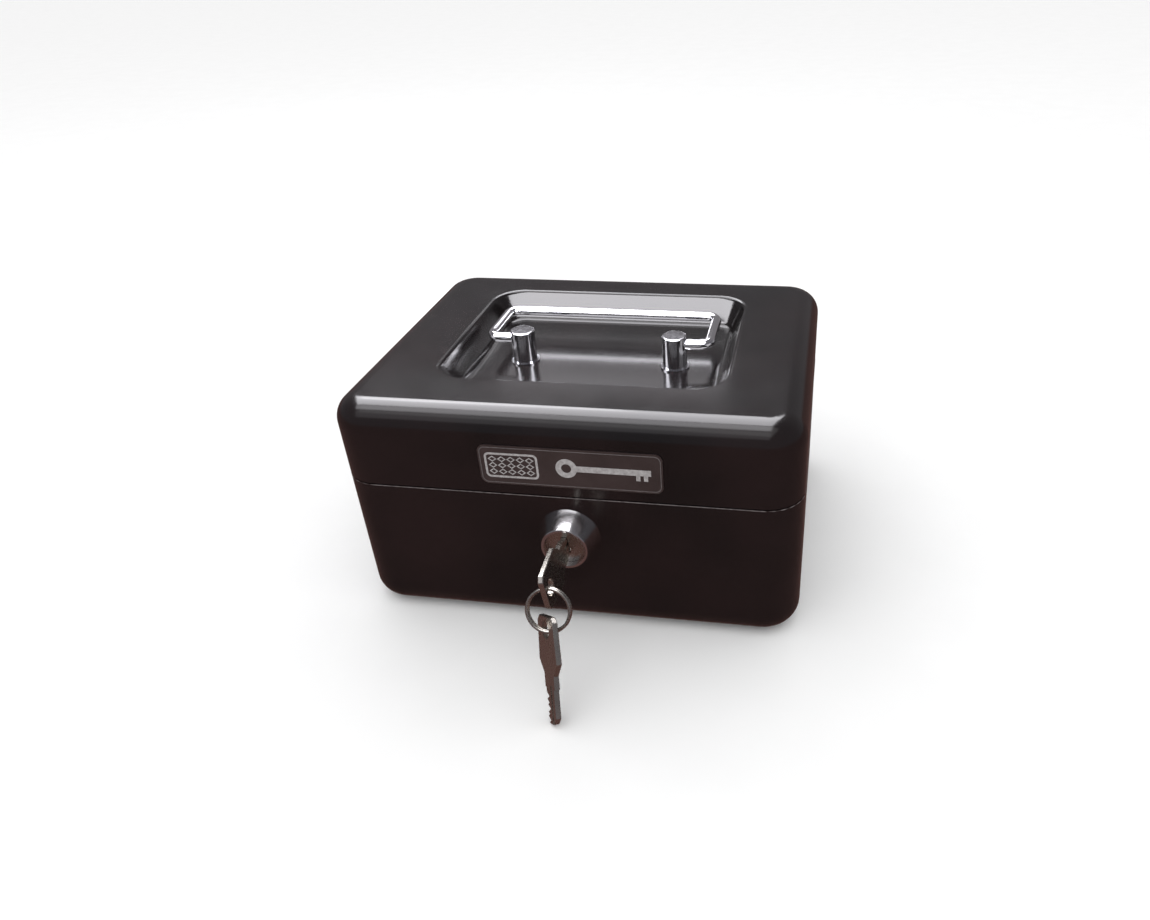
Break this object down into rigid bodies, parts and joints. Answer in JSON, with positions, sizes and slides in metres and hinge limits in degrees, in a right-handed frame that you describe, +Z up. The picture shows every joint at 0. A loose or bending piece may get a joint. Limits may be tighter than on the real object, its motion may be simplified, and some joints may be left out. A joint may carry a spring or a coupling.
{
  "type": "cash box",
  "caption": "Small rounded steel cash box with a hinged lid, sunken panel with a folding wire handle, cam lock with keys on a ring, and a lift-out coin tray.",
  "frame": {"origin": "centre of the base's flat underside", "axes": "+Z up, front with the lock at -Y, +X to the right seen from the front"},
  "size_m": [0.152, 0.1722, 0.082],
  "materials": {
    "black_paint": "gloss",
    "chrome": "polished",
    "nickel": "satin",
    "zinc_steel": "satin",
    "brass": "satin",
    "spring_steel": "satin",
    "tray_plastic": "matte",
    "label": "satin"
  },
  "bodies": {
    "base": {"base_shell": "black_paint", "tray_ledge_left": "black_paint", "tray_ledge_right": "black_paint", "lock_housing": "chrome", "lock_washer": "zinc_steel", "lock_nut": "zinc_steel", "base_hinge_leaf_left": "black_paint", "base_hinge_leaf_right": "black_paint", "hinge_pin_left": "zinc_steel", "hinge_pin_right": "zinc_steel", "base_hinge_rivets": "black_paint"},
    "lid": {"lid_shell": "black_paint", "lid_catch": "zinc_steel", "lid_hinge_leaf_left": "black_paint", "lid_hinge_leaf_right": "black_paint", "lid_hinge_rivets": "black_paint", "handle_post_left": "chrome", "handle_post_right": "chrome", "post_washers": "zinc_steel", "post_screws": "zinc_steel", "label_plate": "label"},
    "handle": {"handle_bail": "chrome"},
    "lock_plug": {"lock_plug": "nickel", "wafer_tumblers": "brass", "wafer_springs": "spring_steel", "lock_cam": "zinc_steel", "cam_washer": "zinc_steel", "cam_screw": "zinc_steel"},
    "key_in_lock": {"lock_key": "nickel"},
    "ring": {"key_ring": "nickel"},
    "spare": {"spare_key": "nickel"},
    "tray": {"coin_tray": "tray_plastic"}
  },
  "joints": [
    {"name": "lid_hinge", "type": "hinge", "parent": "base", "child": "lid", "pos_m": [0, 0.0622, 0.0522], "axis": [-1, 0, 0], "range_deg": [0, 105]},
    {"name": "handle_swing", "type": "hinge", "parent": "lid", "child": "handle", "pos_m": [0, -0.001, 0.0788], "axis": [1, 0, 0], "range_deg": [-16, 196]},
    {"name": "lock_turn", "type": "hinge", "parent": "base", "child": "lock_plug", "pos_m": [0.0015, -0.06, 0.037], "axis": [0, -1, 0], "range_deg": [-8, 82]},
    {"name": "key_withdraw", "type": "slide", "parent": "lock_plug", "child": "key_in_lock", "axis": [0, -1, 0], "range_m": [0, 0.02]},
    {"name": "ring_swing", "type": "hinge", "parent": "key_in_lock", "child": "ring", "pos_m": [0.0022, -0.0868, 0.0373], "axis": [1, 0, 0], "range_deg": [-90, 0]},
    {"name": "spare_key_swing", "type": "hinge", "parent": "ring", "child": "spare", "pos_m": [0.0022, -0.09245, 0.02519], "axis": [1, 0, 0], "range_deg": [-60, 0]},
    {"name": "tray_lift", "type": "slide", "parent": "base", "child": "tray", "axis": [0, 0, 1], "range_m": [0, 0.045]}
  ],
  "couplings": [
    {"joint": "tray_lift", "follows": "lid_hinge", "m_per_rad": 0.0245}
  ]
}
